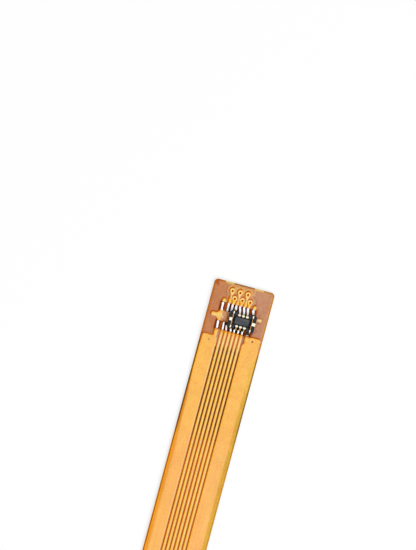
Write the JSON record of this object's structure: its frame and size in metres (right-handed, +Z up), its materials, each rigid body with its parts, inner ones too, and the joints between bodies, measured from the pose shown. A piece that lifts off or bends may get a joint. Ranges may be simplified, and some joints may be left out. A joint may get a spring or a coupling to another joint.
{
  "type": "flexible tester cable",
  "caption": "Flat flexible tester cable with a small board-to-board socket soldered on its stiffened head, plated test rings above it and contact fingers at the tail.",
  "frame": {"origin": "centre of the bounding box at its underside, the plane that the two stiffeners lie on", "axes": "+Y along the cable towards the socket head, +X across it to the right as seen from above with the head away, +Z up from the socket's face"},
  "size_m": [0.0062, 0.06, 0.001],
  "materials": {
    "base_film": "satin",
    "cover_film": "satin",
    "back_film": "satin",
    "stiffener": "matte",
    "copper": "satin",
    "housing": "satin",
    "contact_metal": "polished",
    "solder": "polished"
  },
  "bodies": {
    "root": {"base_film": "base_film", "cover_film": "cover_film", "back_cover_film": "back_film", "head_stiffener": "stiffener", "tail_stiffener": "stiffener", "left_power_conductor": "copper", "right_power_conductor": "copper", "upper_conductor_1": "copper", "upper_conductor_2": "copper", "upper_conductor_3": "copper", "upper_conductor_4": "copper", "upper_conductor_5": "copper", "upper_conductor_6": "copper", "lower_conductor_1": "copper", "lower_conductor_2": "copper", "lower_conductor_3": "copper", "lower_conductor_4": "copper", "lower_conductor_5": "copper", "lower_conductor_6": "copper", "socket_housing": "housing", "upper_contact_1": "contact_metal", "upper_contact_2": "contact_metal", "upper_contact_3": "contact_metal", "lower_contact_1": "contact_metal", "lower_contact_2": "contact_metal", "lower_contact_3": "contact_metal", "left_terminal": "contact_metal", "right_terminal": "contact_metal", "upper_row_solder": "solder", "lower_row_solder": "solder"}
  },
  "joints": []
}
